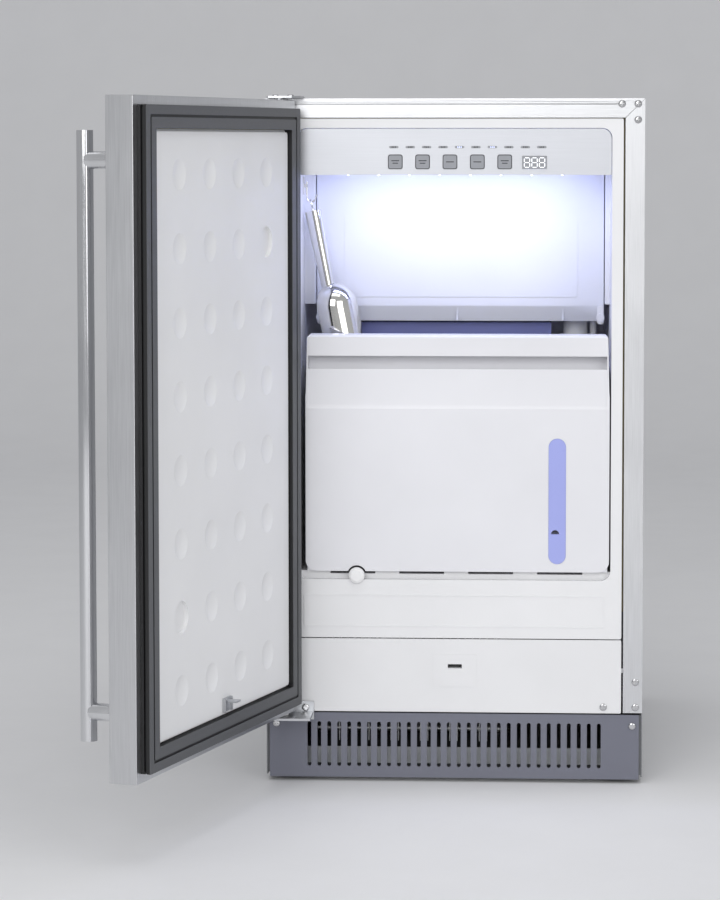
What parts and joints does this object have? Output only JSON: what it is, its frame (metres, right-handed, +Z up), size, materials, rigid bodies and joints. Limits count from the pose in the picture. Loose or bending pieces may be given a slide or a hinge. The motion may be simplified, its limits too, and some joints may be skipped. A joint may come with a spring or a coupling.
{
  "type": "ice maker",
  "caption": "Under-counter clear ice maker: left-hinged insulated door, pull-out ice bin, control fascia, hanging scoop and slotted kickplate.",
  "frame": {"origin": "on the floor under the middle of the cabinet's four feet", "axes": "+Z up, the front and its door face -Y, +X to the right seen from the front"},
  "size_m": [0.6156, 1.0267, 0.825],
  "materials": {
    "stainless_brushed": "brushed stainless, vertical grain",
    "stainless_polished": "polished stainless",
    "zinc_plate": "zinc plated steel",
    "screw_steel": "plated screw",
    "cabinet_paint": "grey painted sheet",
    "kick_paint": "dark blue-grey paint",
    "galvanised": "galvanised sheet",
    "white_liner": "white moulded plastic, satin",
    "white_door_liner": "white sheet plastic, fine grain",
    "white_panel": "white painted panel",
    "fascia_grey": "brushed grey fascia",
    "key_grey": "grey key",
    "smoked_lens": "smoked lens",
    "light_lens": "clear light pipe",
    "board_green": "circuit board",
    "foam": "rigid insulation foam",
    "bin_white": "white moulded plastic",
    "bin_window": "blue translucent window",
    "gasket_rubber": "charcoal vinyl seal",
    "copper": "copper tube",
    "black_enamel": "black enamel",
    "black_plastic": "black plastic",
    "grey_plastic": "grey plastic",
    "aluminium_fin": "aluminium fins",
    "rubber_black": "black rubber"
  },
  "bodies": {
    "cabinet": {"base_pan": "galvanised", "side_panel_left": "cabinet_paint", "side_panel_right": "cabinet_paint", "top_panel": "cabinet_paint", "back_panel": "galvanised", "face_frame_top": "stainless_brushed", "face_frame_left": "stainless_brushed", "face_frame_right": "stainless_brushed", "cabinet_screws": "screw_steel", "inner_liner": "white_liner", "insulation": "foam", "control_fascia": "fascia_grey", "display_window": "smoked_lens", "indicator_lights": "light_lens", "control_board": "board_green", "led_strip": "light_lens", "ice_unit_cover": "white_liner", "cover_clips": "white_liner", "evaporator_plate": "stainless_polished", "evaporator_coil": "copper", "water_distributor": "white_liner", "water_trough": "grey_plastic", "water_pump": "white_liner", "cutter_grid": "stainless_polished", "scoop_hook": "stainless_polished", "lower_access_panel": "white_panel", "switch_plate": "white_liner", "kickplate": "kick_paint", "compressor": "black_enamel", "compressor_mounts": "rubber_black", "condenser": "aluminium_fin", "fan_shroud": "black_plastic", "fan_motor": "grey_plastic", "filter_dryer": "copper", "water_inlet_valve": "grey_plastic", "drain_fitting": "grey_plastic", "power_inlet": "black_plastic", "hinge_bracket_top": "zinc_plate", "hinge_bracket_bottom": "zinc_plate"},
    "door": {"door_shell": "stainless_brushed", "door_foam": "foam", "door_liner": "white_door_liner", "door_gasket": "gasket_rubber", "handle_bar": "stainless_brushed", "handle_posts": "stainless_polished", "striker_bracket": "zinc_plate", "hinge_bushes": "grey_plastic"},
    "bin": {"bin_body": "bin_white", "bin_window": "bin_window"},
    "scoop": {"scoop_bowl": "stainless_polished", "scoop_handle": "stainless_polished"},
    "plug": {"drain_plug": "white_liner"},
    "fan": {"fan_blades": "black_plastic"},
    "switch": {"switch_plunger": "black_plastic"},
    "feet": {"levelling_feet": "black_plastic"},
    "key_1": {"push_key_1": "key_grey"},
    "key_2": {"push_key_2": "key_grey"},
    "key_3": {"push_key_3": "key_grey"},
    "key_4": {"push_key_4": "key_grey"},
    "key_5": {"push_key_5": "key_grey"}
  },
  "joints": [
    {"name": "door_hinge", "type": "hinge", "parent": "cabinet", "child": "door", "pos_m": [-0.206, -0.306, 0.45], "axis": [0, 0, -1], "range_deg": [-107.5, 7.5]},
    {"name": "bin_slide", "type": "slide", "parent": "cabinet", "child": "bin", "axis": [0, -1, 0], "range_m": [0, 0.4]},
    {"name": "scoop_swing", "type": "hinge", "parent": "cabinet", "child": "scoop", "pos_m": [-0.177, -0.195, 0.6955], "axis": [0, -1, 0], "range_deg": [0, 18]},
    {"name": "drain_plug_pull", "type": "slide", "parent": "cabinet", "child": "plug", "axis": [0, -1, 0], "range_m": [0, 0.035]},
    {"name": "fan_spin", "type": "hinge", "parent": "cabinet", "child": "fan", "pos_m": [-0.055, -0.162, 0.112], "axis": [0, 1, 0], "continuous": true},
    {"name": "switch_press", "type": "slide", "parent": "cabinet", "child": "switch", "axis": [0, 1, 0], "range_m": [0, 0.004], "stiffness_N_per_m": 200},
    {"name": "feet_height", "type": "slide", "parent": "cabinet", "child": "feet", "axis": [0, 0, -1], "range_m": [0, 0.012]},
    {"name": "key_1_press", "type": "slide", "parent": "cabinet", "child": "key_1", "axis": [0, 1, 0], "range_m": [0, 0.0006], "stiffness_N_per_m": 1200},
    {"name": "key_2_press", "type": "slide", "parent": "cabinet", "child": "key_2", "axis": [0, 1, 0], "range_m": [0, 0.0006], "stiffness_N_per_m": 1200},
    {"name": "key_3_press", "type": "slide", "parent": "cabinet", "child": "key_3", "axis": [0, 1, 0], "range_m": [0, 0.0006], "stiffness_N_per_m": 1200},
    {"name": "key_4_press", "type": "slide", "parent": "cabinet", "child": "key_4", "axis": [0, 1, 0], "range_m": [0, 0.0006], "stiffness_N_per_m": 1200},
    {"name": "key_5_press", "type": "slide", "parent": "cabinet", "child": "key_5", "axis": [0, 1, 0], "range_m": [0, 0.0006], "stiffness_N_per_m": 1200}
  ]
}
